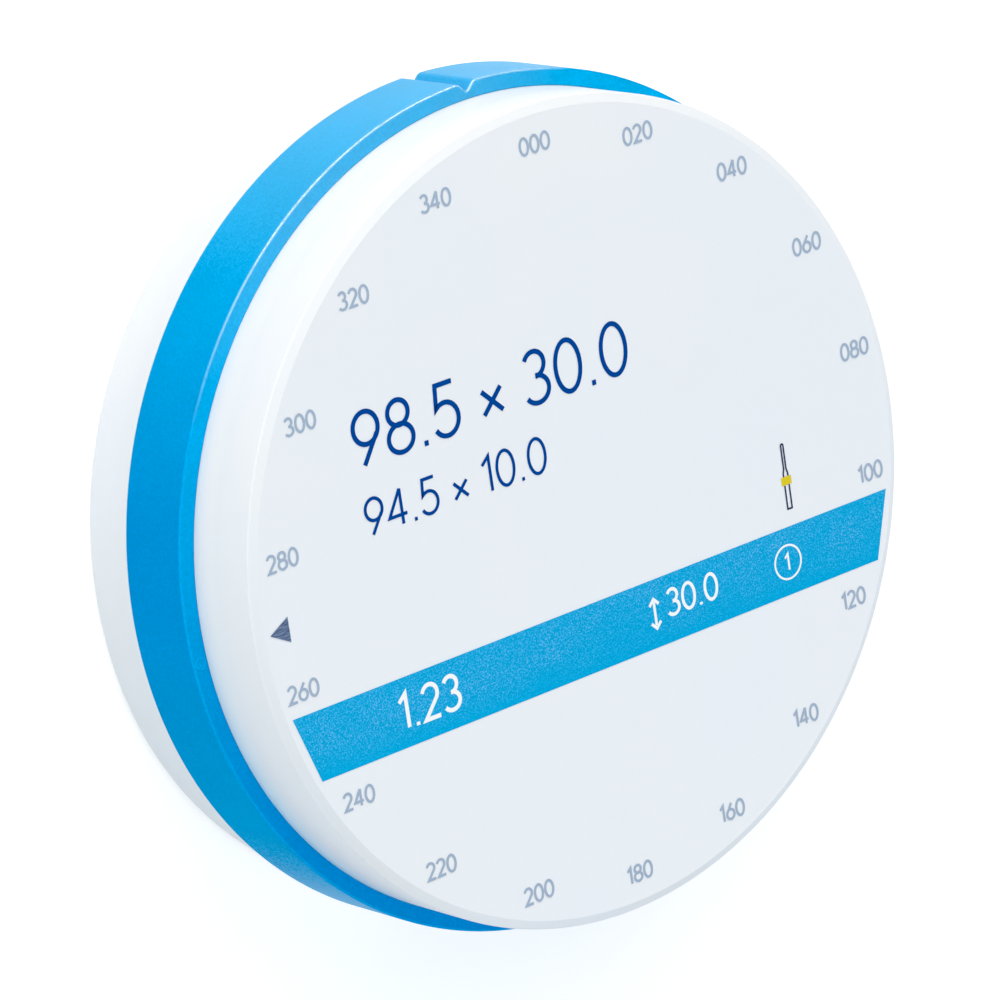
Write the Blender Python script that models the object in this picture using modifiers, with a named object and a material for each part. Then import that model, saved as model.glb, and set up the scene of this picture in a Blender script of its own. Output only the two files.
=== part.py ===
"""Dental milling disc: a round ceramic blank bonded into a moulded holder ring, with a printed front face.

The disc lies on its back face. The origin is the centre of that face, +Z is the disc's axis and leaves
through the printed face, and +X runs along the printed band. Lengths are in metres.
"""

from math import cos, pi, radians, sin, sqrt, tan

import bmesh
import bpy
from mathutils import Matrix, Vector

MM = 0.001

# Holder ring, whose rim, height and notch are what a milling machine's holder locates on
RING_DIAMETER = 98.5 * MM
RING_HEIGHT = 10.0 * MM
RING_SHOULDER = 2.0 * MM
RING_EDGE_RADIUS = 0.2 * MM
BOND_GAP = 0.1 * MM

# Notch across the rim
NOTCH_DIRECTION = radians(90.5)
NOTCH_DEPTH = 1.0 * MM
NOTCH_HALF_ANGLE = radians(45.0)
NOTCH_ROOT_RADIUS = 0.3 * MM
NOTCH_LIP_RADIUS = 1.0 * MM

# Moulding mark on the front shoulder
MARK_DIRECTION = radians(184.8)
MARK_DIAMETER = 1.3 * MM
MARK_LIP_WIDTH = 0.2 * MM
MARK_LIP_PROUD = 0.08 * MM
MARK_DIMPLE_DIAMETER = 0.5 * MM
MARK_DIMPLE_DEPTH = 0.1 * MM

# Blank
BLANK_THICKNESS = 30.0 * MM
FACE_BEVEL_WIDTH = 1.1 * MM
FACE_BEVEL_HEIGHT = 0.5 * MM
FACE_BEVEL_SOFTENING = 0.15 * MM

# Ink on the front face
INK_THICKNESS = 0.03 * MM
INK_CLEARANCE = 0.02 * MM
PRINT_MARGIN = 0.75 * MM

BAND_TOP = -10.15 * MM
BAND_WIDTH = 7.95 * MM

ARROW_X = 7.5 * MM
ARROW_LENGTH = 3.45 * MM
ARROW_HEAD = 0.7 * MM
ARROW_LINE = 0.36 * MM

POINTER_Y = -0.2 * MM
POINTER_LENGTH = 2.6 * MM
POINTER_WIDTH = 2.9 * MM

TOOL_X = 29.4 * MM
TOOL_ABOVE_BAND = 1.95 * MM
TOOL_LINE = 0.2 * MM
TOOL_SHANK_WIDTH = 0.87 * MM
TOOL_SHANK_LENGTH = 2.95 * MM
TOOL_RING_WIDTH = 1.5 * MM
TOOL_RING_HEIGHT = 0.98 * MM
TOOL_NECK_WIDTH = 0.56 * MM
TOOL_NECK_START = 0.35 * MM
TOOL_NECK_END = 0.95 * MM
TOOL_HEAD_LENGTH = 4.0 * MM
TOOL_LINE_GAP = 0.04 * MM

# Fineness of the round shapes
TURN_STEPS = 192
EDGE_STEPS = 3
SOFTENING_STEPS = 2
LIP_STEPS = 8
ROOT_STEPS = 8
MARK_STEPS = 32
TIP_STEPS = 8

CUT_MARGIN = 2.0 * MM
MERGE_DISTANCE = 0.001 * MM
FLAT_ANGLE = radians(0.5)
TRUE_EDGE_ANGLE = radians(25.0)
TURNED_EDGE_ANGLE = radians(15.0)

# Colours, linear
CERAMIC_COLOUR = (0.82, 0.85, 0.88)
RING_COLOUR = (0.0, 0.31, 0.72)
BAND_COLOUR = (0.01, 0.37, 0.71)
POINTER_COLOUR = (0.07, 0.12, 0.23)
LINE_COLOUR = (0.02, 0.04, 0.1)
YELLOW_COLOUR = (0.75, 0.55, 0.01)

CERAMIC_ROUGHNESS = 0.6
RING_ROUGHNESS = 0.4
INK_ROUGHNESS = 0.5

ring_radius = RING_DIAMETER / 2
blank_radius = ring_radius - RING_SHOULDER
bore_radius = blank_radius + BOND_GAP
ring_centre_height = BLANK_THICKNESS / 2
shoulder_height = ring_centre_height + RING_HEIGHT / 2
print_radius = blank_radius - FACE_BEVEL_WIDTH - PRINT_MARGIN
ink_height = BLANK_THICKNESS + INK_CLEARANCE + INK_THICKNESS / 2


def clear_scene():
    for old in list(bpy.data.objects):
        bpy.data.objects.remove(old, do_unlink=True)


def new_collection(name):
    collection = bpy.data.collections.new(name)
    bpy.context.scene.collection.children.link(collection)
    return collection


def new_material(name, colour, roughness):
    material = bpy.data.materials.new(name)
    material.use_nodes = True
    shader = material.node_tree.nodes["Principled BSDF"]
    shader.inputs["Base Color"].default_value = (*colour, 1.0)
    shader.inputs["Roughness"].default_value = roughness
    shader.inputs["Metallic"].default_value = 0.0
    return material


def add_object(name, data, collection, material=None):
    made = bpy.data.objects.new(name, data)
    collection.objects.link(made)
    if material:
        data.materials.append(material)
    return made


def smooth(made):
    """Shades a round piece smooth, with its true edges kept sharp."""
    made.data.shade_smooth()
    made.data.set_sharp_from_angle(angle=TRUE_EDGE_ANGLE)


def rounded_corner(before, corner, after, radius, steps):
    """The arc that rounds off the corner of an outline."""
    to_before = (before - corner).normalized()
    to_after = (after - corner).normalized()
    half_angle = to_before.angle(to_after) / 2
    centre = corner + (to_before + to_after).normalized() * radius / sin(half_angle)
    start = corner + to_before * radius / tan(half_angle) - centre
    way = 1 if to_before.cross(to_after) < 0 else -1
    turn = way * (pi - 2 * half_angle)
    return [centre + Matrix.Rotation(turn * step / steps, 2) @ start for step in range(steps + 1)]


def stroke_outline(path, width):
    """The outline of a line of this width drawn along an open path, with mitred corners."""
    sides = []
    for index, point in enumerate(path):
        arriving = (point - path[max(index - 1, 0)]).normalized()
        leaving = (path[min(index + 1, len(path) - 1)] - point).normalized()
        along = (arriving + leaving).normalized()
        reach = width / 2 / max(along.dot(arriving), along.dot(leaving))
        sides.append(Vector((-along.y, along.x)) * reach)
    left = [point + side for point, side in zip(path, sides)]
    right = [point - side for point, side in zip(path, sides)]
    return left + right[::-1]


def flat_plate(name, outlines, thickness, height, collection, material=None, edge_radius=0.0):
    """A plate of this thickness, centred at this height. Each outline after the first is a hole in it."""
    curve = bpy.data.curves.new(name, "CURVE")
    curve.dimensions = "2D"
    curve.fill_mode = "BOTH"
    curve.extrude = thickness / 2 - edge_radius
    curve.bevel_depth = edge_radius
    curve.bevel_resolution = EDGE_STEPS - 1
    curve.offset = -edge_radius
    for outline in outlines:
        spline = curve.splines.new("POLY")
        spline.points.add(len(outline) - 1)
        spline.use_cyclic_u = True
        for spline_point, (x, y) in zip(spline.points, outline):
            spline_point.co = (x, y, 0.0, 1.0)
    plate = add_object(name, curve, collection, material)
    plate.location.z = height
    return plate


def as_mesh(plate, collection):
    """Turns a curve object into a mesh object of the same name, with its loose caps welded on."""
    bpy.context.view_layer.update()
    graph = bpy.context.evaluated_depsgraph_get()
    mesh = bpy.data.meshes.new_from_object(plate.evaluated_get(graph))
    shape = bmesh.new()
    shape.from_mesh(mesh)
    bmesh.ops.remove_doubles(shape, verts=shape.verts, dist=MERGE_DISTANCE)
    shape.normal_update()
    bmesh.ops.dissolve_limit(shape, angle_limit=FLAT_ANGLE, verts=shape.verts, edges=shape.edges)
    shape.to_mesh(mesh)
    shape.free()
    name, place = plate.name, plate.matrix_world.copy()
    bpy.data.objects.remove(plate, do_unlink=True)
    solid = bpy.data.objects.new(name, mesh)
    collection.objects.link(solid)
    solid.matrix_world = place
    return solid


def as_cutter(made, name, cutters):
    """Names a primitive and moves it to the cutters, unseen in a render."""
    made.name = name
    made.hide_render = True
    made.display_type = "WIRE"
    for home in list(made.users_collection):
        home.objects.unlink(made)
    cutters.objects.link(made)
    return made


def combine(target, other, operation):
    boolean = target.modifiers.new(f"{operation.lower()} {other.name}", "BOOLEAN")
    boolean.operation = operation
    boolean.object = other


def make_blank(collection, material):
    """The turned blank: a profile from the middle of the front face, down the wall, to the back face."""
    top, face_edge = BLANK_THICKNESS, blank_radius - FACE_BEVEL_WIDTH
    profile = [
        (0.0, top),
        (face_edge, top),
        (blank_radius, top - FACE_BEVEL_HEIGHT),
        (blank_radius, FACE_BEVEL_HEIGHT),
        (face_edge, 0.0),
        (0.0, 0.0),
    ]
    mesh = bpy.data.meshes.new("ceramic_blank")
    edges = [(index, index + 1) for index in range(len(profile) - 1)]
    mesh.from_pydata([(x, 0.0, z) for x, z in profile], edges, [])
    blank = add_object("ceramic_blank", mesh, collection, material)
    screw = blank.modifiers.new("turning", "SCREW")
    screw.axis = "Z"
    screw.steps = TURN_STEPS
    screw.render_steps = TURN_STEPS
    screw.use_merge_vertices = True
    screw.merge_threshold = MERGE_DISTANCE
    screw.use_smooth_shade = True
    soften = blank.modifiers.new("softened edges", "BEVEL")
    soften.limit_method = "ANGLE"
    soften.angle_limit = TURNED_EDGE_ANGLE
    soften.width = FACE_BEVEL_SOFTENING
    soften.segments = SOFTENING_STEPS
    soften.harden_normals = True
    return blank


def ring_outline():
    """The rim seen along the axis: one long arc, and a V notch with round lips and a round root."""
    root_to_point = NOTCH_ROOT_RADIUS * (1 / sin(NOTCH_HALF_ANGLE) - 1)
    point_radius = ring_radius - NOTCH_DEPTH - root_to_point
    flank_length = sqrt(ring_radius**2 - (point_radius * sin(NOTCH_HALF_ANGLE)) ** 2)
    flank_length -= point_radius * cos(NOTCH_HALF_ANGLE)
    point = Vector((0.0, point_radius))
    flank = Vector((sin(NOTCH_HALF_ANGLE), cos(NOTCH_HALF_ANGLE))) * flank_length
    right_lip = point + flank
    left_lip = Vector((-right_lip.x, right_lip.y))
    along_rim = Vector((right_lip.y, -right_lip.x)).normalized() * NOTCH_LIP_RADIUS
    beyond_right = right_lip + along_rim
    beyond_left = Vector((-beyond_right.x, beyond_right.y))

    right_arc = rounded_corner(point, right_lip, beyond_right, NOTCH_LIP_RADIUS, LIP_STEPS)
    left_arc = rounded_corner(beyond_left, left_lip, point, NOTCH_LIP_RADIUS, LIP_STEPS)
    root_arc = rounded_corner(left_lip, point, right_lip, NOTCH_ROOT_RADIUS, ROOT_STEPS)

    notch_half_turn = right_arc[-1].angle(Vector((0.0, 1.0)))
    long_way_round = 2 * (pi - notch_half_turn)
    rim = []
    for step in range(1, TURN_STEPS):
        turn = notch_half_turn + long_way_round * step / TURN_STEPS
        rim.append(Vector((sin(turn), cos(turn))) * ring_radius)

    to_notch = Matrix.Rotation(NOTCH_DIRECTION - pi / 2, 2)
    return [to_notch @ outline_point for outline_point in left_arc + root_arc + right_arc + rim]


def mark_place(height):
    middle_of_shoulder = (ring_radius + bore_radius) / 2
    return (
        middle_of_shoulder * cos(MARK_DIRECTION),
        middle_of_shoulder * sin(MARK_DIRECTION),
        height,
    )


def add_moulding_mark(ring, cutters):
    """A small round lip that stands on the front shoulder, with a dimple inside it."""
    lip_radius = MARK_LIP_WIDTH / 2
    sink = lip_radius - MARK_LIP_PROUD
    bpy.ops.mesh.primitive_torus_add(
        major_segments=MARK_STEPS,
        minor_segments=MARK_STEPS // 2,
        major_radius=MARK_DIAMETER / 2,
        minor_radius=lip_radius,
        location=mark_place(shoulder_height - sink),
    )
    lip = as_cutter(bpy.context.object, "mark_lip", cutters)
    combine(ring, lip, "UNION")

    dimple_radius = (MARK_DIMPLE_DIAMETER**2 / 4 + MARK_DIMPLE_DEPTH**2) / (2 * MARK_DIMPLE_DEPTH)
    bpy.ops.mesh.primitive_uv_sphere_add(
        segments=MARK_STEPS,
        ring_count=MARK_STEPS,
        radius=dimple_radius,
        location=mark_place(shoulder_height + dimple_radius - MARK_DIMPLE_DEPTH),
    )
    dimple = as_cutter(bpy.context.object, "mark_dimple", cutters)
    combine(ring, dimple, "DIFFERENCE")


def make_ring(collection, cutters, material):
    """The moulded ring: its outline extruded and rounded along the rim, then bored for the blank."""
    plate = flat_plate(
        "holder_ring",
        [ring_outline()],
        RING_HEIGHT,
        ring_centre_height,
        collection,
        edge_radius=RING_EDGE_RADIUS,
    )
    ring = as_mesh(plate, collection)
    ring.data.materials.append(material)

    bpy.ops.mesh.primitive_cylinder_add(
        vertices=TURN_STEPS,
        radius=bore_radius,
        depth=RING_HEIGHT + 2 * CUT_MARGIN,
        location=(0.0, 0.0, ring_centre_height),
    )
    bore = as_cutter(bpy.context.object, "bore", cutters)
    combine(ring, bore, "DIFFERENCE")
    add_moulding_mark(ring, cutters)
    smooth(ring)
    return ring


def ink_field(name, outlines, collection, material):
    return flat_plate(name, outlines, INK_THICKNESS, ink_height, collection, material)


def print_corner(y, side):
    """The point of the print's limiting circle at this height on the face."""
    return Vector((side * sqrt(print_radius**2 - y**2), y))


def arrow_outline(centre):
    """A double-headed arrow across the band, with open heads of the line's own width."""
    half_line = ARROW_LINE / 2
    tip = ARROW_LENGTH / 2
    cut = ARROW_LINE / sqrt(2)
    crotch = tip - half_line - 2 * cut
    quarter = [
        Vector((half_line, crotch)),
        Vector((ARROW_HEAD - cut, tip - ARROW_HEAD - cut)),
        Vector((ARROW_HEAD, tip - ARROW_HEAD)),
        Vector((0.0, tip)),
    ]
    upper = quarter + [Vector((-x, y)) for x, y in quarter[-2::-1]]
    lower = [-corner for corner in upper]
    return [centre + corner for corner in upper + lower]


def make_band(collection, material):
    """The printed band, with straight slanted ends and a size arrow left open in it."""
    bottom = BAND_TOP - BAND_WIDTH
    band = [
        print_corner(BAND_TOP, -1),
        print_corner(bottom, -1),
        print_corner(bottom, 1),
        print_corner(BAND_TOP, 1),
    ]
    arrow = arrow_outline(Vector((ARROW_X, (BAND_TOP + bottom) / 2)))
    return ink_field("ink_band", [band, arrow], collection, material)


def make_pointer(collection, material):
    """The pointer, whose tip touches the print's limiting circle."""
    tip = print_corner(POINTER_Y, -1)
    triangle = [
        tip,
        tip + Vector((POINTER_LENGTH, -POINTER_WIDTH / 2)),
        tip + Vector((POINTER_LENGTH, POINTER_WIDTH / 2)),
    ]
    return ink_field("ink_pointer", [triangle], collection, material)


def make_tool(collection, line_material, ring_material):
    """The outline drawing of a milling tool above the band: shank, colour ring and slender head."""
    foot = Vector((TOOL_X, BAND_TOP + TOOL_ABOVE_BAND))
    ring_bottom = foot.y + TOOL_SHANK_LENGTH
    ring_top = ring_bottom + TOOL_RING_HEIGHT
    shank = (TOOL_SHANK_WIDTH - TOOL_LINE) / 2
    neck = (TOOL_NECK_WIDTH - TOOL_LINE) / 2

    def mirrored(half):
        return [Vector((TOOL_X - x, y)) for x, y in half] + [Vector((TOOL_X + x, y)) for x, y in half[::-1]]

    shank_line = mirrored([(shank, ring_bottom - TOOL_LINE_GAP), (shank, foot.y + TOOL_LINE / 2)])
    round_start = ring_top + TOOL_HEAD_LENGTH - TOOL_LINE / 2 - neck
    head_half = [
        (shank, ring_top + TOOL_LINE_GAP),
        (shank, ring_top + TOOL_NECK_START),
        (neck, ring_top + TOOL_NECK_END),
    ]
    for step in range(TIP_STEPS):
        turn = step / TIP_STEPS * pi / 2
        head_half.append((neck * cos(turn), round_start + neck * sin(turn)))
    head_line = mirrored(head_half)

    colour_ring = [
        Vector((TOOL_X + side * TOOL_RING_WIDTH / 2, y))
        for side, y in ((-1, ring_top), (-1, ring_bottom), (1, ring_bottom), (1, ring_top))
    ]
    return [
        ink_field("ink_tool_shank", [stroke_outline(shank_line, TOOL_LINE)], collection, line_material),
        ink_field("ink_tool_head", [stroke_outline(head_line, TOOL_LINE)], collection, line_material),
        ink_field("ink_tool_ring", [colour_ring], collection, ring_material),
    ]


def make_disc():
    clear_scene()
    parts = new_collection("dental_milling_disc")
    cutters = new_collection("cutters")
    ceramic = new_material("pressed ceramic", CERAMIC_COLOUR, CERAMIC_ROUGHNESS)
    ring_plastic = new_material("ring plastic", RING_COLOUR, RING_ROUGHNESS)
    band_ink = new_material("band ink", BAND_COLOUR, INK_ROUGHNESS)
    pointer_ink = new_material("pointer ink", POINTER_COLOUR, INK_ROUGHNESS)
    line_ink = new_material("line ink", LINE_COLOUR, INK_ROUGHNESS)
    yellow_ink = new_material("yellow ink", YELLOW_COLOUR, INK_ROUGHNESS)

    make_blank(parts, ceramic)
    make_ring(parts, cutters, ring_plastic)
    make_band(parts, band_ink)
    make_pointer(parts, pointer_ink)
    make_tool(parts, line_ink, yellow_ink)


make_disc()
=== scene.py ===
"""Looks of a dental milling disc: a chalky ceramic blank in a moulded blue ring, printed on its front face.

The disc lies on its back face. +Z leaves through the printed face and +X runs along the printed band.
Lengths are in metres. Directions round the disc are azimuths, counted from +X towards +Y.
"""

from math import cos, pi, radians, sin, sqrt, tan

import bpy
from mathutils import Matrix, Vector


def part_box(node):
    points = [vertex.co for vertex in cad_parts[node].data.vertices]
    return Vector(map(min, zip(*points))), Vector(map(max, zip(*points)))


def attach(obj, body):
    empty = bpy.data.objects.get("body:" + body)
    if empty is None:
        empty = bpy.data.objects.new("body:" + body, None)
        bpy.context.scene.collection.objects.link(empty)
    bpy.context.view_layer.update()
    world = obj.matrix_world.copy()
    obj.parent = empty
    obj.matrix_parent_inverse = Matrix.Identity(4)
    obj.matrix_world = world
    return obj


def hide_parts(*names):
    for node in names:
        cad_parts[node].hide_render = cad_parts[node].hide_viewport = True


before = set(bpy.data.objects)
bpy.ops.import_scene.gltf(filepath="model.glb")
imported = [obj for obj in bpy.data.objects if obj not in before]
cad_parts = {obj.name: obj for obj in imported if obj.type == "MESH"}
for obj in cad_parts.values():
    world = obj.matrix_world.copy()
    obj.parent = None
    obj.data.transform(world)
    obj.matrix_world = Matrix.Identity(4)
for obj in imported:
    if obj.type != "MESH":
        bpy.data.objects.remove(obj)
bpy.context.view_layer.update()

MM = 0.001

# The camera looks down on the disc at the photograph's angle. Its lens and sensor are in millimetres.
CAMERA_LENS = 216.0
CAMERA_SENSOR = 36.0
CAMERA_AZIMUTH = radians(154.55)
CAMERA_ELEVATION = radians(49.78)
CAMERA_DISTANCE = 682.4 * MM
CAMERA_AIM = Vector((-0.5, -0.2, 15.0)) * MM
PICTURE_UP_AZIMUTH = radians(79.44)

# Edges and fit of the ring
RING_FIT = 0.004 * MM
RING_EDGE_RADIUS = 0.24 * MM
BORE_EDGE_RADIUS = 0.17 * MM

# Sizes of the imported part
blank_low, blank_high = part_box("ceramic_blank")
ring_low, ring_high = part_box("holder_ring")
band_low, band_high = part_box("ink_band")

BLANK_RADIUS = blank_high.x
FACE_HEIGHT = blank_high.z
RING_RADIUS = ring_high.x
RING_BORE = BLANK_RADIUS + RING_FIT
RING_BOTTOM = ring_low.z
SHOULDER_HEIGHT = blank_high.z - ring_low.z
RING_MIDDLE = (SHOULDER_HEIGHT + RING_BOTTOM) / 2
RING_HALF = (SHOULDER_HEIGHT - RING_BOTTOM) / 2
INK_BOTTOM = band_low.z
INK_TOP = band_high.z
BAND_MIDDLE = (band_low.y + band_high.y) / 2

# Edges of the blank
FACE_BEVEL_WIDTH = 1.1 * MM
FACE_BEVEL_HEIGHT = 0.5 * MM
BEVEL_ROUNDING = 0.25 * MM

# Notch of the ring
NOTCH_AZIMUTH = radians(90.5)
NOTCH_DEPTH = 1.0 * MM
NOTCH_HALF_ANGLE = radians(45.0)
NOTCH_ROOT_RADIUS = 0.3 * MM
NOTCH_LIP_RADIUS = 1.0 * MM

# Moulding mark on the ring's shoulder. Heights count from the shoulder.
MARK_AZIMUTH = radians(184.8)
MARK_RADIUS = 0.75 * MM
MARK_LIP_WIDTH = 0.2 * MM
MARK_PROUD = 0.07 * MM
MARK_DOT_PROUD = 0.7 * MARK_PROUD
MARK_DOT_RADIUS = 0.2 * MM
MARK_DOT_SHIFT = Vector((-0.055, -0.295, 0.0)) * MM
MARK_SUNK = 0.1 * MM
MARK_FLOOR = 0.01 * MM

# Fineness of the meshes. Each corner of a section is rounded in steps, between two supporting points.
TURN_STEPS = 480
ROUND_STEPS = 6
CORNER_POINTS = ROUND_STEPS + 3
NOTCH_STEPS = 24
CURVE_STEPS = 20
SUPPORT = 0.04 * MM
FLAT_ENOUGH = 0.99
SHARPEST_BODY = radians(50.0)
SHARPEST_PRINT = radians(30.0)


def new_object(name, vertices, faces, sharpest=SHARPEST_BODY):
    """A mesh object of these points and faces, shaded smooth but for its sharp edges."""
    mesh = bpy.data.meshes.new(name)
    mesh.from_pydata(vertices, [], faces)
    mesh.validate()
    mesh.shade_smooth()
    mesh.set_sharp_from_angle(angle=sharpest)
    made = bpy.data.objects.new(name, mesh)
    bpy.context.scene.collection.objects.link(made)
    return made


def finish_piece(piece, material, slot, *replaced):
    """Gives a piece its material and ties it to the part."""
    piece.data.materials.append(material)
    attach(piece, "root")
    if replaced:
        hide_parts(*replaced)
    return piece


def azimuth_vector(azimuth, length=1.0, height=0.0):
    """The point this far from the disc's axis, in this direction and at this height."""
    return Vector((length * cos(azimuth), length * sin(azimuth), height))


# Materials

# Ranges that hold most values of a noise: a narrow one for a fine noise and a wide one for a cloudy one
NARROW = (0.38, 0.62)
WIDE = (0.3, 0.7)

# A gloss pattern at this value is matt, even where the grain raises it most
NO_GLOSS = -0.04


class Shader:
    """A Principled material and the few kinds of node that its textures are made of."""

    def __init__(self, name, **values):
        self.material = bpy.data.materials.new(name)
        self.material.use_nodes = True
        self.tree = self.material.node_tree
        self.surface = self.tree.nodes["Principled BSDF"]
        self.place = self.tree.nodes.new("ShaderNodeTexCoord").outputs["Object"]
        for socket, value in values.items():
            self.surface.inputs[socket.replace("_", " ")].default_value = value

    def node(self, kind, inputs=(), **settings):
        """A new node. Each input is another node's output, which is linked, or a plain value."""
        made = self.tree.nodes.new(kind)
        for setting, value in settings.items():
            setattr(made, setting, value)
        for socket, value in dict(inputs).items():
            if isinstance(value, bpy.types.NodeSocket):
                self.tree.links.new(value, made.inputs[socket])
            else:
                made.inputs[socket].default_value = value
        return made

    def noise(self, size, detail=2.0, roughness=0.5, stretch=(1.0, 1.0, 1.0)):
        """A cloudy pattern, 0 to 1, with blotches of about this size."""
        scaled = self.node("ShaderNodeMapping", {"Vector": self.place, "Scale": stretch})
        inputs = {"Vector": scaled.outputs[0], "Scale": 1.0 / size}
        inputs |= {"Detail": detail, "Roughness": roughness}
        return self.node("ShaderNodeTexNoise", inputs).outputs["Fac"]

    def spread(self, pattern, low, high, to_low=0.0, to_high=1.0):
        """Stretches the part of a pattern between low and high over a new range."""
        inputs = {"Value": pattern, "From Min": low, "From Max": high, "To Min": to_low, "To Max": to_high}
        return self.node("ShaderNodeMapRange", inputs).outputs["Result"]

    def math(self, operation, first, second=0.0):
        """The result of a math node on two values."""
        return self.node("ShaderNodeMath", {0: first, 1: second}, operation=operation).outputs[0]

    def times(self, first, second):
        """The product of two patterns."""
        return self.math("MULTIPLY", first, second)

    def blend(self, amount, first, second):
        """From the first colour to the second."""
        mix = self.node("ShaderNodeMix", {"Factor": amount}, data_type="RGBA")
        colours = [socket for socket in mix.inputs if socket.type == "RGBA"]
        for socket, colour in zip(colours, (first, second)):
            if isinstance(colour, bpy.types.NodeSocket):
                self.tree.links.new(colour, socket)
            else:
                socket.default_value = (*colour, 1.0)
        return [socket for socket in mix.outputs if socket.type == "RGBA"][0]

    def colour(self, colour):
        """Gives the surface this colour."""
        self.tree.links.new(colour, self.surface.inputs["Base Color"])

    def rough(self, pattern, low, high):
        """Roughness between two values, as a pattern crosses the wide range."""
        self.tree.links.new(self.spread(pattern, *WIDE, low, high), self.surface.inputs["Roughness"])

    def along(self, axis, low, high, to_low=0.0, to_high=1.0):
        """Grows along an axis of the part, from one length to another."""
        length = self.node("ShaderNodeSeparateXYZ", {"Vector": self.place}).outputs[axis]
        return self.spread(length, low, high, to_low, to_high)

    def away(self, axis, middle, near, far, to_near=0.0, to_far=1.0):
        """Grows along an axis on both sides of a middle, from one distance to another."""
        length = self.node("ShaderNodeSeparateXYZ", {"Vector": self.place}).outputs[axis]
        distance = self.math("ABSOLUTE", self.math("SUBTRACT", length, middle))
        return self.spread(distance, near, far, to_near, to_far)

    def shade(self, colour, amount):
        """Multiplies a colour by this amount."""
        return self.node("ShaderNodeHueSaturation", {"Color": colour, "Value": amount}).outputs[0]

    def gloss(self, pattern, grain):
        """A gloss that the plastic's grain makes uneven, and patchy where the pattern is near nil."""
        uneven = self.math("ADD", pattern, self.spread(grain, *NARROW, NO_GLOSS, -NO_GLOSS))
        self.tree.links.new(self.math("MAXIMUM", uneven), self.surface.inputs["Specular IOR Level"])

    def relief(self, *layers):
        """Bumps of these patterns, each of this height."""
        normal = None
        for pattern, height in layers:
            bump = self.node("ShaderNodeBump", {"Height": pattern, "Distance": height})
            if normal:
                self.tree.links.new(normal, bump.inputs["Normal"])
            normal = bump.outputs["Normal"]
        self.tree.links.new(normal, self.surface.inputs["Normal"])


# Ceramic: sizes and heights of its grain, and its colours
CLOUD_SIZE = 18 * MM
CLOUD_RANGE = (0.35, 0.65)
POWDER_SIZE = 0.16 * MM
POWDER_RANGE = (0.25, 0.75)
POWDER_DARKENING = 0.05
POWDER_HEIGHT = 0.004 * MM
PORE_SIZE = 0.07 * MM
PORE_HEIGHT = 0.0015 * MM
CERAMIC_GLOSS = 0.5
CERAMIC_ROUGHNESS = (0.28, 0.40)
COOL_CERAMIC = (0.785, 0.818, 0.858)
WARM_CERAMIC = (0.795, 0.822, 0.846)
DARK_POWDER = (0.45, 0.52, 0.62)

# The painted light on the wall's foot beside the ring: how far it reaches and where it turns from cool to
# warm
FOOT_PAINTED_LIGHT_REACH = 4 * MM
FOOT_PAINTED_LIGHT_TURN_Y = (-22 * MM, 8 * MM)
COOL_FOOT_PAINTED_LIGHT = (0.79, 0.95, 0.98)
WARM_FOOT_PAINTED_LIGHT = (0.97, 0.925, 0.885)


def ceramic_material():
    """Pressed and pre-sintered ceramic: chalky, with a fine powder grain and faint cool and warm clouds.

    The foot of the wall on both sides of the ring is painted paler, as painted light: a little bluer away
    from the notch, and warmer towards it, which balances the blue light that the ring throws on it there.
    """
    shader = Shader("chalky ceramic", Specular_IOR_Level=CERAMIC_GLOSS)
    clouds = shader.noise(CLOUD_SIZE, detail=1.0)
    powder = shader.noise(POWDER_SIZE, detail=3.0, roughness=0.65)
    pores = shader.noise(PORE_SIZE, detail=1.0)
    body = shader.blend(shader.spread(clouds, *CLOUD_RANGE), COOL_CERAMIC, WARM_CERAMIC)
    # Painted light: the wall's foot beside the ring is painted paler, bluer away from the notch and warmer
    # towards it.
    foot_painted_light = shader.away("Z", RING_MIDDLE, RING_HALF, RING_HALF + FOOT_PAINTED_LIGHT_REACH, 1.0, 0.0)
    foot_painted_light_colour = shader.blend(shader.along("Y", *FOOT_PAINTED_LIGHT_TURN_Y), COOL_FOOT_PAINTED_LIGHT, WARM_FOOT_PAINTED_LIGHT)
    body = shader.blend(foot_painted_light, body, foot_painted_light_colour)
    darkening = shader.spread(powder, *POWDER_RANGE, 0.0, POWDER_DARKENING)
    shader.colour(shader.blend(darkening, body, DARK_POWDER))
    shader.rough(powder, *CERAMIC_ROUGHNESS)
    shader.relief((powder, POWDER_HEIGHT), (pores, PORE_HEIGHT))
    return shader.material


# Ring plastic: its deep blue and its pale blue of painted light on each surface, and what its mould left
RIM_PAINTED_LIGHT_BLUES = (0.0, 0.262, 0.63), (0.0, 0.358, 0.715)
SHOULDER_PAINTED_LIGHT_BLUES = (0.0, 0.256, 0.655), (0.0, 0.352, 0.70)
EDGE_PAINTED_HIGHLIGHT_BLUES = (0.0, 0.335, 0.745), (0.0, 0.352, 0.72)
MARK_BLUES = (0.0, 0.38, 0.765), (0.0, 0.38, 0.765)
GRAIN_SIZE = 0.28 * MM
GRAIN_SHADES = (0.93, 1.07)
GRAIN_HEIGHT = 0.018 * MM
EDGE_GRAIN_HEIGHT = 0.002 * MM
MARK_GRAIN_HEIGHT = 0.006 * MM
FLOW_SIZE = 9 * MM
FLOW_SHADES = (1.0, 1.06)
SATIN_ROUGHNESS = (0.32, 0.46)
EDGE_ROUGHNESS = (0.10, 0.14)
EDGE_IOR = 2.0


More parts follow.
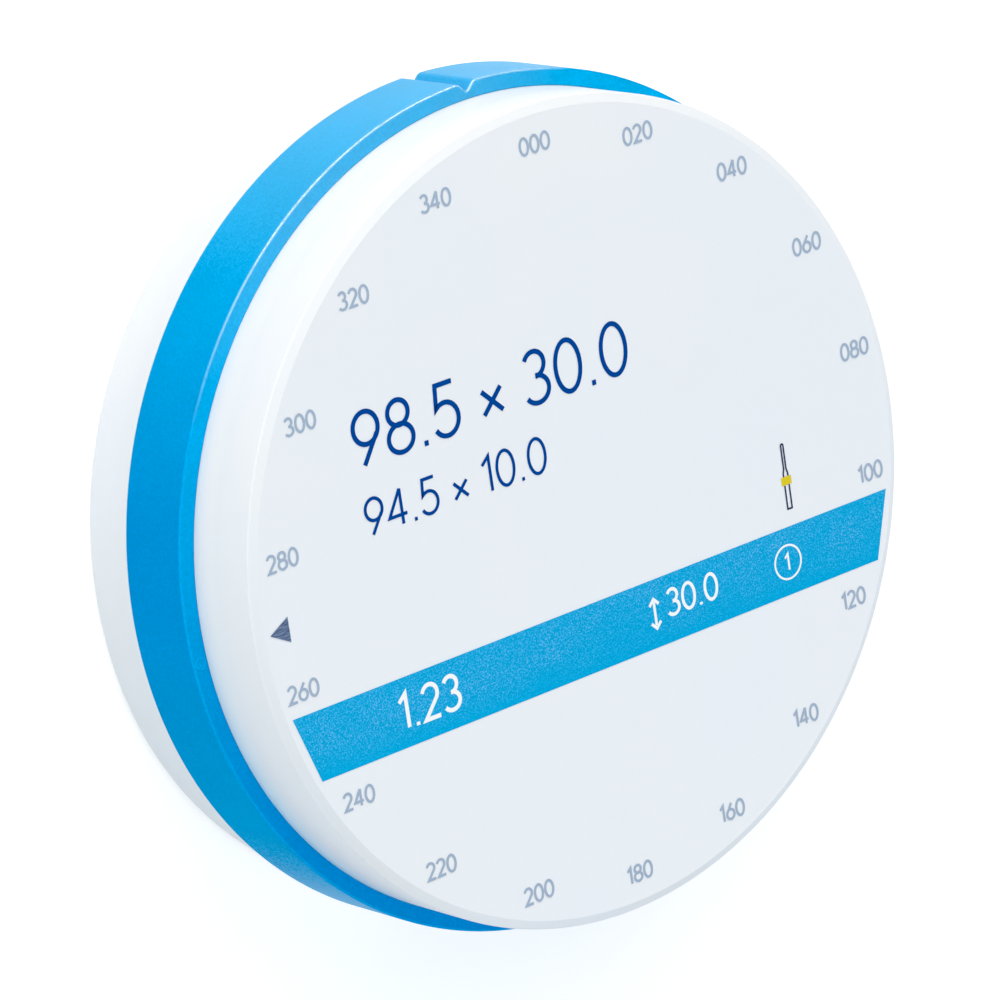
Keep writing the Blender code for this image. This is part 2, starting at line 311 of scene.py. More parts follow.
def ring_plastic(shader, painted_paleness, deep, pale, painted_lift=1.0):
    """Gives a shader the ring's blue, between a deep and a pale one of painted light and lifted by more
    painted light, and returns the plastic's grain.
    """
    grain = shader.noise(GRAIN_SIZE, detail=3.0, roughness=0.65)
    flow = shader.spread(shader.noise(FLOW_SIZE), *WIDE, *FLOW_SHADES)
    # The blend from the deep to the pale blue, and the lift, are painted light.
    body = shader.shade(shader.blend(painted_paleness, deep, pale), shader.times(flow, painted_lift))
    shader.colour(shader.shade(body, shader.spread(grain, *NARROW, *GRAIN_SHADES)))
    return grain


# Where the rim is deepest, how far from there its painted light turns it pale, and where a sheen sets in at
# both ends
RIM_DEEPEST_Y = 6 * MM
RIM_PAINTED_LIGHT_FADE = (5 * MM, 35 * MM)
RIM_NOTCH_SHEEN_Y = (34.5 * MM, 48 * MM)
RIM_NOTCH_GLOSS = 0.25
RIM_FAR_SHEEN_Y = (-26 * MM, -38 * MM)
RIM_FAR_GLOSS = 0.06


def rim_material():
    """Satin moulded plastic with a fine spark-eroded grain, painted paler towards both ends as painted
    light, and a little shinier beside the notch.
    """
    shader = Shader("satin ring plastic")
    # The rim's paleness towards both ends is painted light.
    grain = ring_plastic(shader, shader.away("Y", RIM_DEEPEST_Y, *RIM_PAINTED_LIGHT_FADE), *RIM_PAINTED_LIGHT_BLUES)
    notch_sheen = shader.along("Y", *RIM_NOTCH_SHEEN_Y, NO_GLOSS, RIM_NOTCH_GLOSS)
    far_sheen = shader.along("Y", *RIM_FAR_SHEEN_Y, NO_GLOSS, RIM_FAR_GLOSS)
    shader.gloss(shader.math("MAXIMUM", notch_sheen, far_sheen), grain)
    shader.rough(grain, *SATIN_ROUGHNESS)
    shader.relief((grain, GRAIN_HEIGHT))
    return shader.material


# Where the shoulder's painted light turns it pale and lifts it beyond the notch, and where the rubbed sheen
# sets in and ends
SHOULDER_PAINTED_LIGHT_Y = (-32 * MM, 28 * MM)
SHOULDER_PAINTED_LIFT_X = (0.0, 15 * MM)
SHOULDER_PAINTED_LIFT = (1.0, 1.14)
RUBBED_GLOSS = 0.66
RUBBED_FROM_Y = (25 * MM, 42 * MM)
RUBBED_TO_X = (1 * MM, 13 * MM)


def shoulder_material():
    """The same plastic on the shoulder, painted paler towards the notch and beyond it as painted light,
    with a sheen on one side of the notch where a clamp ring rubbed.
    """
    shader = Shader("rubbed ring plastic")
    # Painted light: the shoulder is painted paler towards the notch and lifted beyond it.
    painted_lift = shader.along("X", *SHOULDER_PAINTED_LIFT_X, *SHOULDER_PAINTED_LIFT)
    grain = ring_plastic(shader, shader.along("Y", *SHOULDER_PAINTED_LIGHT_Y), *SHOULDER_PAINTED_LIGHT_BLUES, painted_lift)
    setting_in = shader.along("Y", *RUBBED_FROM_Y, NO_GLOSS, RUBBED_GLOSS)
    ending = shader.along("X", *RUBBED_TO_X, RUBBED_GLOSS, NO_GLOSS)
    shader.gloss(shader.math("MINIMUM", setting_in, ending), grain)
    shader.rough(grain, *SATIN_ROUGHNESS)
    shader.relief((grain, GRAIN_HEIGHT))
    return shader.material


# Where the edge's painted highlight turns from its deep to its pale blue, and where its gloss sets in and
# ends
EDGE_PAINTED_HIGHLIGHT_Y = (4 * MM, 38 * MM)
EDGE_GLOSS = 1.0
EDGE_GLOSS_FROM_Y = (21 * MM, 40 * MM)
EDGE_GLOSS_TO_X = (9 * MM, 14 * MM)


def edge_material():
    """The same plastic on the moulded edge, in paler blues that paint a highlight line along it: smoother,
    and glossy by the notch.
    """
    shader = Shader("glossy ring edge", IOR=EDGE_IOR)
    # The edge's paler blues are a painted highlight line.
    grain = ring_plastic(shader, shader.along("Y", *EDGE_PAINTED_HIGHLIGHT_Y), *EDGE_PAINTED_HIGHLIGHT_BLUES)
    setting_in = shader.along("Y", *EDGE_GLOSS_FROM_Y, NO_GLOSS, EDGE_GLOSS)
    ending = shader.along("X", *EDGE_GLOSS_TO_X, EDGE_GLOSS, NO_GLOSS)
    shader.gloss(shader.math("MINIMUM", setting_in, ending), grain)
    shader.rough(grain, *EDGE_ROUGHNESS)
    shader.relief((grain, EDGE_GRAIN_HEIGHT))
    return shader.material


def mark_material():
    """The same plastic on the moulding mark, paler than the shoulder round it."""
    shader = Shader("moulding mark plastic", Specular_IOR_Level=0.0)
    grain = ring_plastic(shader, 0.0, *MARK_BLUES)
    shader.rough(grain, *SATIN_ROUGHNESS)
    shader.relief((grain, MARK_GRAIN_HEIGHT))
    return shader.material


# Inks: their colours where they lie thick and where they are thin, and their texture
BAND_BLUES = (0.0, 0.382, 0.71), (0.145, 0.42, 0.76)
POINTER_SLATES = (0.028, 0.048, 0.125), (0.165, 0.245, 0.39)
INDEX_GREYS = (0.335, 0.425, 0.555), (0.47, 0.56, 0.68)
TITLE_BLUES = (0.0, 0.054, 0.28), (0.0, 0.086, 0.365)
LINE_BLACKS = (0.010, 0.022, 0.075), (0.05, 0.07, 0.16)
TOOL_YELLOWS = (0.70, 0.55, 0.010), (0.76, 0.62, 0.04)
BARE_WHITES = (0.91, 0.915, 0.915), (0.875, 0.89, 0.90)
SPECK_SIZE = 0.2 * MM
SPECK_HEIGHT = 0.004 * MM
INK_THINNING = (0.45, 0.75)
INK_THINNEST = 0.35
INK_GLOSS = 0.12
INK_ROUGHNESS = (0.5, 0.7)

# The band's mottle: which noise values make a speck, and how its patches and its lower half thin them out
BAND_SPECKS = (0.515, 0.615)
BAND_HALF_COVER = (0.05, 0.95)
BAND_PATCH_SIZE = 6 * MM
BAND_PATCH_RANGE = (0.35, 0.6)
BAND_PATCH_COVER = (0.35, 1.0)
BAND_SHADE_RANGE = (0.40, 0.60)
BAND_SHADES = (0.87, 1.13)
BAND_ROUGHNESS = (0.45, 0.65)

# The pointer's streaks: their width, how much longer they are, and their contrast
STREAK_WIDTH = 0.14 * MM
STREAK_STRETCH = (0.14, 1.0, 1.0)
STREAK_RANGE = (0.38, 0.66)
STREAK_HEIGHT = 0.005 * MM
STREAK_GLOSS = 0.3


def band_material():
    """Blue ink that has dried into a mottle of small paler specks, most of them in its upper half."""
    shader = Shader("mottled band ink", Specular_IOR_Level=0.0)
    specks = shader.noise(SPECK_SIZE, detail=4.0, roughness=0.75)
    patches = shader.noise(BAND_PATCH_SIZE)
    upper = shader.along("Y", band_low.y, BAND_MIDDLE, *BAND_HALF_COVER)
    cover = shader.times(upper, shader.spread(patches, *BAND_PATCH_RANGE, *BAND_PATCH_COVER))
    body = shader.blend(shader.times(shader.spread(specks, *BAND_SPECKS), cover), *BAND_BLUES)
    shader.colour(shader.shade(body, shader.spread(specks, *BAND_SHADE_RANGE, *BAND_SHADES)))
    shader.rough(specks, *BAND_ROUGHNESS)
    shader.relief((specks, SPECK_HEIGHT))
    return shader.material


def pointer_material():
    """Slate ink laid down in fine slanting passes, which show as paler and darker streaks."""
    shader = Shader("streaky pointer ink", Specular_IOR_Level=STREAK_GLOSS)
    streaks = shader.noise(STREAK_WIDTH, roughness=0.6, stretch=STREAK_STRETCH)
    shader.colour(shader.blend(shader.spread(streaks, *STREAK_RANGE), *POINTER_SLATES))
    shader.rough(streaks, *INK_ROUGHNESS)
    shader.relief((streaks, STREAK_HEIGHT))
    return shader.material


def ink_material(name, thick, thin, gloss=INK_GLOSS):
    """Plain printed ink, a little thinner in places."""
    shader = Shader(name, Specular_IOR_Level=gloss)
    specks = shader.noise(SPECK_SIZE, detail=3.0, roughness=0.6)
    shader.colour(shader.blend(shader.spread(specks, *INK_THINNING, 0.0, INK_THINNEST), thick, thin))
    shader.rough(specks, *INK_ROUGHNESS)
    shader.relief((specks, SPECK_HEIGHT))
    return shader.material


# The blank


def rounded_corner(before, corner, after, radius, steps, support=0.0):
    """Points and outward directions of the arc that rounds a corner, the outline's inside on its right."""
    to_before = (before - corner).normalized()
    to_after = (after - corner).normalized()
    half_angle = to_before.angle(to_after) / 2
    centre = corner + (to_before + to_after).normalized() * radius / sin(half_angle)
    start = corner + to_before * radius / tan(half_angle) - centre
    convex = to_before.cross(to_after) > 0
    turn = (pi - 2 * half_angle) * (-1 if convex else 1)
    rounding = []
    for step in range(steps + 1):
        spoke = Matrix.Rotation(turn * step / steps, 2) @ start
        outward = spoke.normalized() * (1 if convex else -1)
        rounding.append((centre + spoke, outward))
    if support:
        rounding.insert(0, (rounding[0][0] + to_before * support, rounding[0][1]))
        rounding.append((rounding[-1][0] + to_after * support, rounding[-1][1]))
    return rounding


def turned(name, profile):
    """A body turned about the disc's axis. The profile runs from the axis above to the axis below."""
    vertices = [(0.0, 0.0, profile[0][1])]
    rings = profile[1:-1]
    for radius, height in rings:
        for step in range(TURN_STEPS):
            turn = 2 * pi * step / TURN_STEPS
            vertices.append((radius * cos(turn), radius * sin(turn), height))
    vertices.append((0.0, 0.0, profile[-1][1]))
    last = len(vertices) - 1
    bottom = last - TURN_STEPS
    faces = []
    for step in range(TURN_STEPS):
        following = (step + 1) % TURN_STEPS
        faces.append((0, 1 + step, 1 + following))
        for index in range(len(rings) - 1):
            upper, lower = 1 + index * TURN_STEPS, 1 + (index + 1) * TURN_STEPS
            faces.append((upper + step, lower + step, lower + following, upper + following))
        faces.append((bottom + following, bottom + step, last))
    return new_object(name, vertices, faces)


def make_blank(material):
    """The turned blank, its bevels softened where they meet the faces and the wall."""
    face_edge = BLANK_RADIUS - FACE_BEVEL_WIDTH
    corners = [
        Vector((0.0, FACE_HEIGHT)),
        Vector((face_edge, FACE_HEIGHT)),
        Vector((BLANK_RADIUS, FACE_HEIGHT - FACE_BEVEL_HEIGHT)),
        Vector((BLANK_RADIUS, FACE_BEVEL_HEIGHT)),
        Vector((face_edge, 0.0)),
        Vector((0.0, 0.0)),
    ]
    profile = [tuple(corners[0])]
    for before, corner, after in zip(corners, corners[1:], corners[2:]):
        rounding = rounded_corner(before, corner, after, BEVEL_ROUNDING, ROUND_STEPS, SUPPORT)
        profile += [tuple(point) for point, outward in rounding]
    profile.append(tuple(corners[-1]))
    blank = turned("chalky_blank", profile)
    return finish_piece(blank, material, "ceramic", "ceramic_blank")


# The ring

# Places of the materials on the ring and on its moulding mark, after the first
EDGE_PLACE = 1
SHOULDER_PLACE = 2
LIP_PLACE = 1


def ring_outline():
    """Points and outward directions of the rim, clockwise, with its notch first."""
    root_to_point = NOTCH_ROOT_RADIUS * (1 / sin(NOTCH_HALF_ANGLE) - 1)
    point_radius = RING_RADIUS - NOTCH_DEPTH - root_to_point
    flank_length = sqrt(RING_RADIUS**2 - (point_radius * sin(NOTCH_HALF_ANGLE)) ** 2)
    flank_length -= point_radius * cos(NOTCH_HALF_ANGLE)
    point = Vector((0.0, point_radius))
    right_lip = point + Vector((sin(NOTCH_HALF_ANGLE), cos(NOTCH_HALF_ANGLE))) * flank_length
    left_lip = Vector((-right_lip.x, right_lip.y))
    along_rim = Vector((right_lip.y, -right_lip.x)).normalized() * NOTCH_LIP_RADIUS
    beyond_right = right_lip + along_rim
    beyond_left = Vector((-beyond_right.x, beyond_right.y))

    outline = rounded_corner(beyond_left, left_lip, point, NOTCH_LIP_RADIUS, NOTCH_STEPS)
    outline += rounded_corner(left_lip, point, right_lip, NOTCH_ROOT_RADIUS, NOTCH_STEPS)
    outline += rounded_corner(point, right_lip, beyond_right, NOTCH_LIP_RADIUS, NOTCH_STEPS)
    notch_half_turn = outline[-1][0].angle(Vector((0.0, 1.0)))
    long_way_round = 2 * (pi - notch_half_turn)
    for step in range(1, TURN_STEPS):
        turn = notch_half_turn + long_way_round * step / TURN_STEPS
        outward = Vector((sin(turn), cos(turn)))
        outline.append((outward * RING_RADIUS, outward))
    to_notch = Matrix.Rotation(NOTCH_AZIMUTH - pi / 2, 2)
    return [(to_notch @ place, to_notch @ outward) for place, outward in outline]


def edge_rounding(radius):
    """A rounded edge, from its flat top to its flat side: for each point how far in and how far down."""
    points = [(radius + SUPPORT, 0.0)]
    for step in range(ROUND_STEPS + 1):
        turn = pi / 2 * step / ROUND_STEPS
        points.append((radius * (1 - sin(turn)), radius * (1 - cos(turn))))
    return points + [(0.0, radius + SUPPORT)]


def ring_section():
    """The ring's cross-section: its side, how far in from the rim or out from the bore, and the height."""
    rim_side, bore_side = edge_rounding(RING_EDGE_RADIUS), edge_rounding(BORE_EDGE_RADIUS)
    section = [("rim", inset, SHOULDER_HEIGHT - drop) for inset, drop in rim_side]
    section += [("rim", inset, RING_BOTTOM + drop) for inset, drop in rim_side[::-1]]
    section += [("bore", inset, RING_BOTTOM + drop) for inset, drop in bore_side]
    section += [("bore", inset, SHOULDER_HEIGHT - drop) for inset, drop in bore_side[::-1]]
    return section


def make_ring(rim_plastic, edge_plastic, shoulder_plastic):
    """The moulded ring: one section swept round the rim, its edge rounding running through the notch."""
    outline = ring_outline()
    section = ring_section()
    vertices, faces = [], []
    for place, outward in outline:
        for side, inset, height in section:
            if side == "rim":
                spot = place - outward * inset
            else:
                spot = place.normalized() * (RING_BORE + inset)
            vertices.append((spot.x, spot.y, height))
    around = len(section)
    for station in range(len(outline)):
        here, there = station * around, (station + 1) % len(outline) * around
        for index in range(around):
            following = (index + 1) % around
            faces.append((here + index, there + index, there + following, here + following))
    ring = new_object("moulded_ring", vertices, faces)
    finish_piece(ring, rim_plastic, "ring_plastic", "holder_ring")
    ring.data.materials.append(edge_plastic)
    ring.data.materials.append(shoulder_plastic)
    for polygon in ring.data.polygons:
        index = polygon.index % around
        if section[index][0] == "rim" and 0 < index % CORNER_POINTS <= ROUND_STEPS:
            polygon.material_index = EDGE_PLACE
        elif polygon.normal.z > FLAT_ENOUGH:
            polygon.material_index = SHOULDER_PLACE


def make_mark(shoulder_plastic, lip_plastic):
    """The moulding mark: a low round lip with a dot off its middle, standing a little in the shoulder."""
    lip = MARK_LIP_WIDTH / 2
    profile = []
    for step in range(ROUND_STEPS + 1):
        turn = pi / 2 * step / ROUND_STEPS
        profile.append((MARK_DOT_RADIUS * sin(turn), MARK_FLOOR + MARK_DOT_PROUD * cos(turn)))
    for step in range(2 * ROUND_STEPS + 1):
        turn = pi * step / (2 * ROUND_STEPS)
        height = MARK_FLOOR + (MARK_PROUD - MARK_FLOOR) * sin(turn)
        profile.append((MARK_RADIUS - lip - lip * cos(turn), height))
    profile += [(MARK_RADIUS, -MARK_SUNK), (0.0, -MARK_SUNK)]
    mark = turned("moulding_mark", profile)
    for vertex in mark.data.vertices:
        if vertex.co.z > 0 and vertex.co.xy.length < MARK_DOT_RADIUS + SUPPORT:
            vertex.co += MARK_DOT_SHIFT
    mark.location = azimuth_vector(MARK_AZIMUTH, (RING_RADIUS + RING_BORE) / 2, SHOULDER_HEIGHT)
    finish_piece(mark, shoulder_plastic, "ring_plastic")
    mark.data.materials.append(lip_plastic)
    for polygon in mark.data.polygons:
        if polygon.center.z > MARK_FLOOR + MARK_PROUD / 4:
            polygon.material_index = LIP_PLACE


# Print


def arc(centre, radii, start, end, steps=CURVE_STEPS):
    """Points of an ellipse's arc, angles in degrees."""
    points = []
    for step in range(steps + 1):
        turn = radians(start + (end - start) * step / steps)
        points.append((centre[0] + radii[0] * cos(turn), centre[1] + radii[1] * sin(turn)))
    return points


def loop(centre, radii):
    """Points of a whole ellipse."""
    return arc(centre, radii, 0, 360, 2 * CURVE_STEPS)[:-1]


# Each sign is its width and its strokes, in cap heights. A stroke is a path and whether it closes.
SIGNS = {
    "0": (0.60, [(loop((0.30, 0.50), (0.30, 0.50)), True)]),
    "1": (0.30, [([(0.00, 0.78), (0.25, 1.00), (0.25, 0.00)], False)]),
    "2": (0.56, [(arc((0.27, 0.72), (0.27, 0.28), 165, -38) + [(0.02, 0.0), (0.56, 0.0)], False)]),
    "3": (
        0.56,
        [
            (arc((0.26, 0.755), (0.24, 0.245), 155, -90), False),
            (arc((0.26, 0.265), (0.29, 0.265), 90, -150), False),
        ],
    ),
    "4": (0.62, [([(0.45, 1.0), (0.0, 0.27), (0.62, 0.27)], False), ([(0.45, 1.0), (0.45, 0.0)], False)]),
    "5": (
        0.56,
        [([(0.50, 1.0), (0.10, 1.0), (0.06, 0.56)] + arc((0.26, 0.32), (0.30, 0.32), 126, -150), False)],
    ),
    "6": (0.58, [(loop((0.29, 0.31), (0.29, 0.31)), True), ([(0.42, 1.0), (0.05, 0.46)], False)]),
    "8": (0.58, [(loop((0.29, 0.76), (0.24, 0.24)), True), (loop((0.29, 0.27), (0.29, 0.27)), True)]),
    "9": (0.58, [(loop((0.29, 0.69), (0.29, 0.31)), True), ([(0.16, 0.0), (0.53, 0.54)], False)]),
    "x": (0.46, [([(0.0, 0.12), (0.46, 0.58)], False), ([(0.0, 0.58), (0.46, 0.12)], False)]),
    ".": (0.14, [([(0.07, -0.045), (0.07, 0.055)], False)]),
    " ": (0.20, []),
}

# Space between signs in cap heights, how far a sign's strokes lie under each other, and a mitre's limit
SIGN_GAP = 0.20
STROKE_LIFT = 0.0004 * MM
LEAST_MITRE_COSINE = 0.4


def ribbon(path, closed, width, bottom, top, vertices, faces):
    """Adds a flat closed ribbon of this width along a path, with mitred corners.

    Each point of the path has four points of the ribbon: left top, left bottom, right top and right bottom.
    """
    count = len(path)
    first = len(vertices)
    for index, point in enumerate(path):
        arriving = point - path[index - 1] if closed or index else path[1] - point
        leaving = path[(index + 1) % count] - point if closed or index < count - 1 else arriving
        arriving, leaving = arriving.normalized(), leaving.normalized()
        along = (arriving + leaving).normalized()
        mitre = width / 2 / max(along.dot(arriving), LEAST_MITRE_COSINE)
        side = Vector((-along.y, along.x)) * mitre
        for spot in (point + side, point - side):
            vertices += [(spot.x, spot.y, top), (spot.x, spot.y, bottom)]
    for index in range(count if closed else count - 1):
        here, there = first + 4 * index, first + 4 * ((index + 1) % count)
        for near, far in ((0, 2), (2, 3), (3, 1), (1, 0)):
            faces.append((here + near, here + far, there + far, there + near))
    if not closed:
        last = first + 4 * (count - 1)
        faces.append((first, first + 1, first + 3, first + 2))
        faces.append((last, last + 2, last + 3, last + 1))


def text_width(text, cap):
    """The width of a line of text at this cap height."""
    return (sum(SIGNS[sign][0] for sign in text) + SIGN_GAP * (len(text) - 1)) * cap


def write(text, left, baseline, cap, width, vertices, faces):
    """Adds the strokes of a line of text. No two strokes of a sign end at quite the same height."""
    for sign in text:
        advance, strokes = SIGNS[sign]
        for order, (path, closed) in enumerate(strokes):
            spots = [Vector((left + x * cap, baseline + y * cap)) for x, y in path]
            ribbon(spots, closed, width, INK_BOTTOM, INK_TOP - order * STROKE_LIFT, vertices, faces)
        left += (advance + SIGN_GAP) * cap


def print_piece(name, draw, material, slot):
    """A piece of print that a function draws."""
    vertices, faces = [], []
    draw(vertices, faces)
    return finish_piece(new_object(name, vertices, faces, SHARPEST_PRINT), material, slot)


INDEX_COUNT = 18
INDEX_RADIUS = 42.9 * MM
INDEX_CAP = 1.9 * MM
INDEX_LINE = 0.3 * MM


def draw_index(vertices, faces):
    """The dial of upright numbers round the face, in degrees clockwise from +Y."""
    step = 360 // INDEX_COUNT
    for number in range(INDEX_COUNT):
        text = f"{number * step:03d}"
        centre = azimuth_vector(pi / 2 - radians(number * step), INDEX_RADIUS)
        left = centre.x - text_width(text, INDEX_CAP) / 2
        write(text, left, centre.y - INDEX_CAP / 2, INDEX_CAP, INDEX_LINE, vertices, faces)


# Lines of text: each with its left end, baseline, cap height and line width
TITLE_LEFT = -30.4 * MM
TITLE_LINES = (
    ("98.5 x 30.0", TITLE_LEFT, 14.4 * MM, 5.9 * MM, 0.56 * MM),
    ("94.5 x 10.0", TITLE_LEFT, 6.6 * MM, 4.0 * MM, 0.38 * MM),
)
BAND_LINES = (
    ("1.23", -29.9 * MM, -15.9 * MM, 3.9 * MM, 0.5 * MM),
    ("30.0", 9.5 * MM, -15.0 * MM, 3.0 * MM, 0.4 * MM),
)

ARROW_X = 7.5 * MM
ARROW_LENGTH = 3.45 * MM
ARROW_HEAD = 0.7 * MM
ARROW_LINE = 0.36 * MM

SIDE_MARK = Vector((28.0, -14.2)) * MM
SIDE_MARK_RADIUS = 2.0 * MM
SIDE_MARK_LINE = 0.25 * MM
SIDE_NUMBER_CAP = 1.9 * MM
SIDE_NUMBER_LINE = 0.28 * MM
SIDE_NUMBER_SHIFT = 0.1 * MM


def draw_title(vertices, faces):
    """The disc's sizes in millimetres: ring and thickness, then blank and ring height."""
    for line in TITLE_LINES:
        write(*line, vertices, faces)


def draw_band_signs(vertices, faces):
    """What the band leaves white: its numbers, the size arrow and the ringed number of the side."""
    for line in BAND_LINES:
        write(*line, vertices, faces)
    draw_arrow(vertices, faces)
    draw_side_mark(vertices, faces)


def draw_arrow(vertices, faces):
    """The upright double arrow beside the thickness, its shaft a little over its heads."""
    for way in (1, -1):
        tip = Vector((ARROW_X, BAND_MIDDLE + way * ARROW_LENGTH / 2))
        head = [tip + Vector((side * ARROW_HEAD, -way * ARROW_HEAD)) for side in (-1, 1)]
        head.insert(1, tip)
        ribbon(head, False, ARROW_LINE, INK_BOTTOM, INK_TOP - STROKE_LIFT, vertices, faces)
    shaft = [Vector((ARROW_X, BAND_MIDDLE + way * (ARROW_LENGTH / 2 - ARROW_LINE))) for way in (-1, 1)]
    ribbon(shaft, False, ARROW_LINE, INK_BOTTOM, INK_TOP, vertices, faces)


def draw_side_mark(vertices, faces):
    """The ringed number that names the side."""
    ringed = [SIDE_MARK + Vector(spot) * SIDE_MARK_RADIUS for spot in loop((0.0, 0.0), (1.0, 1.0))]
    ribbon(ringed, True, SIDE_MARK_LINE, INK_BOTTOM, INK_TOP, vertices, faces)
    left = SIDE_MARK.x - text_width("1", SIDE_NUMBER_CAP) / 2 - SIDE_NUMBER_SHIFT
    baseline = SIDE_MARK.y - SIDE_NUMBER_CAP / 2
    write("1", left, baseline, SIDE_NUMBER_CAP, SIDE_NUMBER_LINE, vertices, faces)


BAND_SINK = 0.008 * MM


def make_band(material):
    """The band of ink, a little thinner than the white signs that lie in it."""
    corners = []
    for y, side in ((band_high.y, -1), (band_low.y, -1), (band_low.y, 1), (band_high.y, 1)):
        reach = sqrt(band_high.x**2 + band_high.y**2 - y**2)
        corners.append((side * reach, y))
    vertices = [(x, y, z) for z in (INK_TOP - BAND_SINK, INK_BOTTOM) for x, y in corners]
    faces = [(0, 1, 2, 3), (7, 6, 5, 4)]
    faces += [(near, near + 4, (near + 1) % 4 + 4, (near + 1) % 4) for near in range(4)]
    band = new_object("printed_band", vertices, faces, SHARPEST_PRINT)
    return finish_piece(band, material, "band_ink", "ink_band")


def dress_print():
    """The printed front face. Pointer and tool drawing keep their solids and get their inks."""
    index_ink = ink_material("pale index ink", *INDEX_GREYS)
    title_ink = ink_material("deep blue ink", *TITLE_BLUES, gloss=0.0)
    line_ink = ink_material("dark line ink", *LINE_BLACKS)
    yellow_ink = ink_material("yellow ink", *TOOL_YELLOWS)
    white_ink = ink_material("bare white", *BARE_WHITES)
    print_piece("index_numbers", draw_index, index_ink, "dark_ink")
    print_piece("size_numbers", draw_title, title_ink, "dark_ink")
    print_piece("band_numbers", draw_band_signs, white_ink, "ceramic")
    make_band(band_material())
    inks = {
        "ink_pointer": pointer_material(),
        "ink_tool_shank": line_ink,
        "ink_tool_head": line_ink,
        "ink_tool_ring": yellow_ink,
    }
    for name, material in inks.items():
        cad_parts[name].material_slots[0].material = material


# Stage

# The floor reaches this far each way in metres, and lies just under the disc
FLOOR_REACH = 0.5
FLOOR_CELLS = 8
FLOOR_DROP = 0.02 * MM
FLOOR_SHADE = (0.8, 0.8, 0.8)
FLOOR_GLOW = 0.38

WORLD_LIGHT = 0.11
WORLD_COLOUR = (0.93, 1.03, 1.07)
BACKDROP_COLOUR = (1.0, 1.0, 1.0)


def seen(tree):
    """1 for what the camera, reflections and glass see, 0 for the light that falls on things."""
    path = tree.nodes.new("ShaderNodeLightPath")
    total = path.outputs["Is Camera Ray"]
    for ray in ("Is Glossy Ray", "Is Transmission Ray"):
        either = tree.nodes.new("ShaderNodeMath")
        either.operation = "MAXIMUM"
        tree.links.new(total, either.inputs[0])
        tree.links.new(path.outputs[ray], either.inputs[1])
        total = either.outputs[0]
    return total


def floor_material():
    """A pale matt floor, with a glow that only the camera, reflections and glass see."""
    material = bpy.data.materials.new("pale floor")
    material.use_nodes = True
    tree = material.node_tree
    surface = tree.nodes["Principled BSDF"]
    surface.inputs["Base Color"].default_value = (*FLOOR_SHADE, 1.0)
    surface.inputs["Roughness"].default_value = 1.0
    surface.inputs["Specular IOR Level"].default_value = 0.0
    glow = tree.nodes.new("ShaderNodeEmission")
    both = tree.nodes.new("ShaderNodeAddShader")
    strength = tree.nodes.new("ShaderNodeMath")
    strength.operation = "MULTIPLY"
    strength.inputs[1].default_value = FLOOR_GLOW
    tree.links.new(seen(tree), strength.inputs[0])
    tree.links.new(strength.outputs[0], glow.inputs["Strength"])
    tree.links.new(surface.outputs[0], both.inputs[0])
    tree.links.new(glow.outputs[0], both.inputs[1])
    output = next(node for node in tree.nodes if node.type == "OUTPUT_MATERIAL")
    tree.links.new(both.outputs[0], output.inputs["Surface"])
    return material


def make_floor():
    """A pale floor that the camera sees as white but for the disc's soft shadow."""
    vertices, faces = [], []
    for row in range(FLOOR_CELLS + 1):
        for column in range(FLOOR_CELLS + 1):
            across, along = 2 * column / FLOOR_CELLS - 1, 2 * row / FLOOR_CELLS - 1
            vertices.append((across * FLOOR_REACH, along * FLOOR_REACH, 0.0))
    for row in range(FLOOR_CELLS):
        for column in range(FLOOR_CELLS):
            corner = row * (FLOOR_CELLS + 1) + column
            faces.append((corner, corner + 1, corner + FLOOR_CELLS + 2, corner + FLOOR_CELLS + 1))
    floor = new_object("floor", vertices, faces)
    floor.location.z = -FLOOR_DROP
    floor.data.materials.append(floor_material())


def make_world():
    """Cool even light all round, in front of a white backdrop."""
    world = bpy.data.worlds.new("studio")
    world.use_nodes = True
    tree = world.node_tree
    light = tree.nodes["Background"]
    light.inputs["Color"].default_value = (*WORLD_COLOUR, 1.0)
    light.inputs["Strength"].default_value = WORLD_LIGHT
    backdrop = tree.nodes.new("ShaderNodeBackground")
    backdrop.inputs["Color"].default_value = (*BACKDROP_COLOUR, 1.0)
    backdrop.inputs["Strength"].default_value = 1.0
    choice = tree.nodes.new("ShaderNodeMixShader")
    tree.links.new(seen(tree), choice.inputs[0])
    tree.links.new(light.outputs[0], choice.inputs[1])
    tree.links.new(backdrop.outputs[0], choice.inputs[2])
    tree.links.new(choice.outputs[0], tree.nodes["World Output"].inputs["Surface"])
    bpy.context.scene.world = world


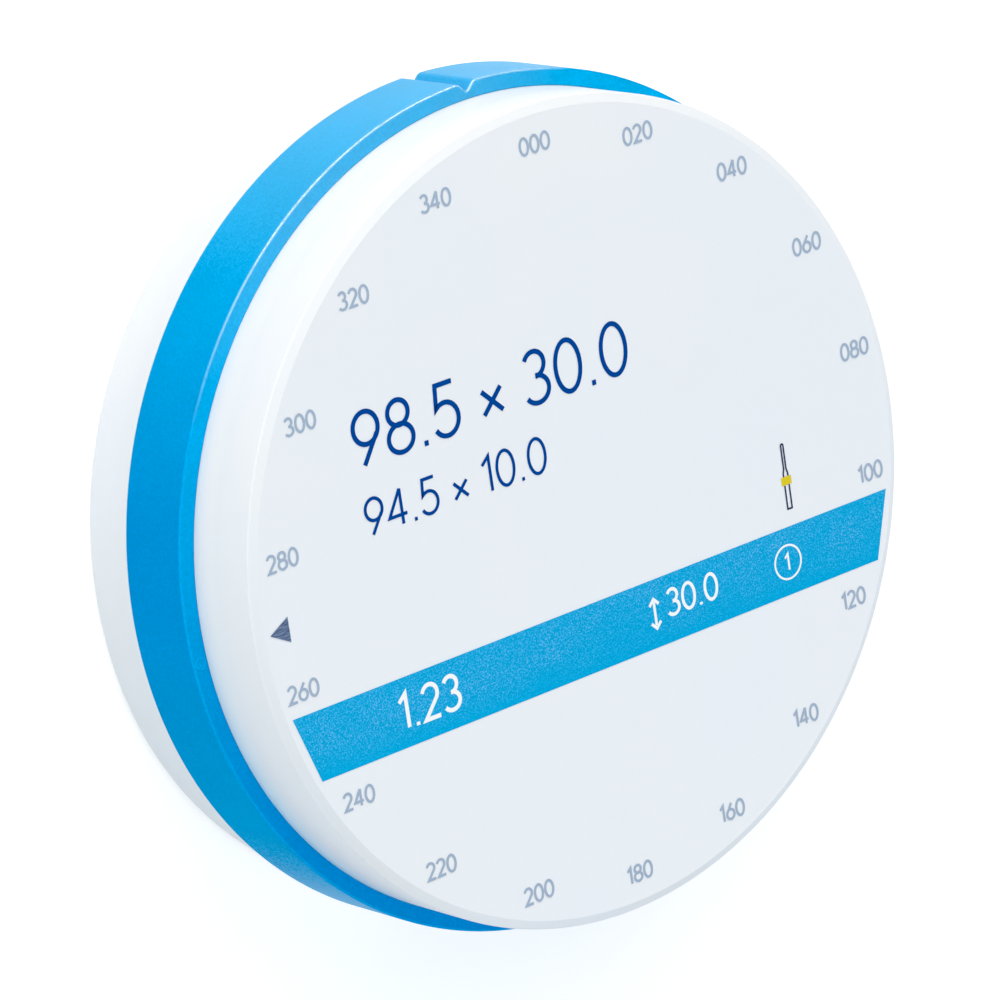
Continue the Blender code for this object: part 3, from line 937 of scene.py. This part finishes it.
# Each softbox: azimuth, elevation, distance, width and height in metres, power in watts, and colour
SOFTBOXES = {
    "top_softbox": (radians(95), radians(62), 0.9, 0.7, 0.5, 1.0, (0.97, 0.98, 1.0)),
    "rim_softbox": (radians(85), radians(20), 0.8, 0.9, 0.08, 3.85, (1.06, 1.0, 0.92)),
    "left_softbox": (radians(165), radians(40), 0.9, 1.8, 0.8, 7.35, (1.0, 0.99, 0.98)),
    "fill_softbox": (radians(215), radians(36), 1.1, 1.2, 0.6, 1.6, (0.72, 1.0, 1.12)),
    "right_softbox": (radians(305), radians(36), 1.1, 0.8, 0.6, 2.75, (0.94, 0.99, 1.09)),
    "low_right_softbox": (radians(335), radians(22), 1.1, 0.8, 0.4, 3.05, (0.93, 0.98, 1.08)),
    "edge_softbox": (radians(40), radians(18), 0.8, 0.6, 0.06, 0.6, (1.06, 1.04, 0.94)),
}


def make_lights():
    """Softboxes round the disc, each turned towards its middle."""
    target = Vector((0.0, 0.0, FACE_HEIGHT / 2))
    for name, (azimuth, elevation, distance, width, height, power, colour) in SOFTBOXES.items():
        lamp = bpy.data.lights.new(name, "AREA")
        lamp.shape = "RECTANGLE"
        lamp.size, lamp.size_y = width, height
        lamp.energy = power
        lamp.color = colour
        softbox = bpy.data.objects.new(name, lamp)
        way = azimuth_vector(azimuth, cos(elevation), sin(elevation))
        softbox.location = target + way * distance
        softbox.rotation_euler = way.to_track_quat("Z", "Y").to_euler()
        bpy.context.scene.collection.objects.link(softbox)


def make_camera():
    """Looks at the disc from above its rim, turned so that the picture's top is near +Y."""
    back = azimuth_vector(CAMERA_AZIMUTH, cos(CAMERA_ELEVATION), sin(CAMERA_ELEVATION))
    right = azimuth_vector(PICTURE_UP_AZIMUTH).cross(back).normalized()
    up = back.cross(right)
    data = bpy.data.cameras.new("camera")
    data.sensor_width = CAMERA_SENSOR
    data.lens = CAMERA_LENS
    camera = bpy.data.objects.new("camera", data)
    turned_to = Matrix((right, up, back)).transposed().to_4x4()
    camera.matrix_world = Matrix.Translation(CAMERA_AIM + back * CAMERA_DISTANCE) @ turned_to
    bpy.context.scene.collection.objects.link(camera)
    bpy.context.scene.camera = camera


shoulder_plastic = shoulder_material()
make_blank(ceramic_material())
make_ring(rim_material(), edge_material(), shoulder_plastic)
make_mark(shoulder_plastic, mark_material())
dress_print()
make_floor()
make_world()
make_lights()
make_camera()
bpy.context.scene.view_settings.view_transform = "Standard"
